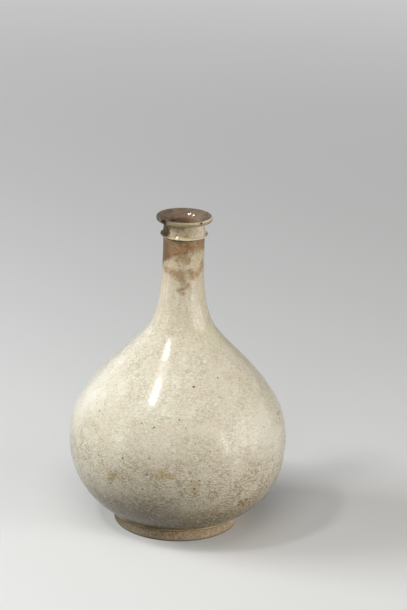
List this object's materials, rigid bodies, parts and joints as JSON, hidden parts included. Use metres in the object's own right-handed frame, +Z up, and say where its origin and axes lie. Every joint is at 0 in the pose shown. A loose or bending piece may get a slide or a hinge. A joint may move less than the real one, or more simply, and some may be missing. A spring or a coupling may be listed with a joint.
{
  "type": "porcelain bottle vase",
  "caption": "Globular bottle vase with a slender drawn neck, raised collar, wide dished mouth and bare turned foot ring, thrown in sections that are luted with slip.",
  "frame": {"origin": "centre of the foot ring's standing plane, on the bottle's axis", "axes": "+Z up along the axis of the bottle, from the foot to the mouth; +X to the right and -Y towards the viewer in the picture"},
  "size_m": [0.2048, 0.2048, 0.3],
  "materials": {
    "ivory_glaze": "gloss",
    "stained_glaze": "gloss",
    "bare_clay": "matte",
    "slip": "matte"
  },
  "bodies": {
    "root": {"foot_ring": "bare_clay", "foot_slip_band": "slip", "lower_body": "ivory_glaze", "belly_slip_band": "slip", "upper_body": "ivory_glaze", "neck_slip_band": "slip", "neck_tube": "stained_glaze", "collar_slip_band": "slip", "collar_ring": "stained_glaze", "mouth_slip_band": "slip", "mouth_cup": "stained_glaze"}
  },
  "joints": []
}
